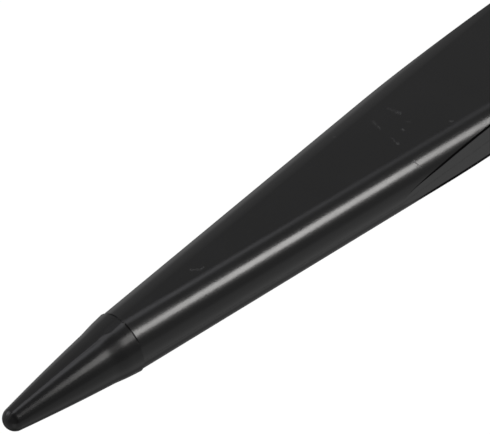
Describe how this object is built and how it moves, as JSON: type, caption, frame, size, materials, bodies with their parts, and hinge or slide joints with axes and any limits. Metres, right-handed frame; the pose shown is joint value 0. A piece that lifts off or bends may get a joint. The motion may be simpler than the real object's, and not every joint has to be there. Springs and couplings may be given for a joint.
{
  "type": "spudger",
  "caption": "Slim black plastic prying tool: pull-off ball-ended point, flat handle that widens from a round neck, pull-off notched blade.",
  "frame": {"origin": "centre of the bounding box in plan, on the plane that the lower flat face rests on", "axes": "+X along the tool from the point to the blade, +Y across its width, +Z through its thickness, up"},
  "size_m": [0.15, 0.0094, 0.0054],
  "materials": {
    "black_plastic": "satin-gloss moulded black nylon, finely scratched",
    "rod_composite": "ground glass-fibre rod",
    "pin_steel": "plain steel pin",
    "ring_rubber": "soft black rubber"
  },
  "bodies": {
    "handle": {"top_shell": "black_plastic", "bottom_shell": "black_plastic", "core_rod": "rod_composite", "point_grip_ring": "ring_rubber", "blade_grip_ring": "ring_rubber", "front_cross_pin": "pin_steel", "rear_cross_pin": "pin_steel"},
    "point": {"point_tip": "black_plastic"},
    "blade": {"blade_tip": "black_plastic"}
  },
  "joints": [
    {"name": "point_pull_off", "type": "slide", "parent": "handle", "child": "point", "axis": [-1, 0, 0], "range_m": [0, 0.008]},
    {"name": "blade_pull_off", "type": "slide", "parent": "handle", "child": "blade", "axis": [1, 0, 0], "range_m": [0, 0.012]}
  ]
}
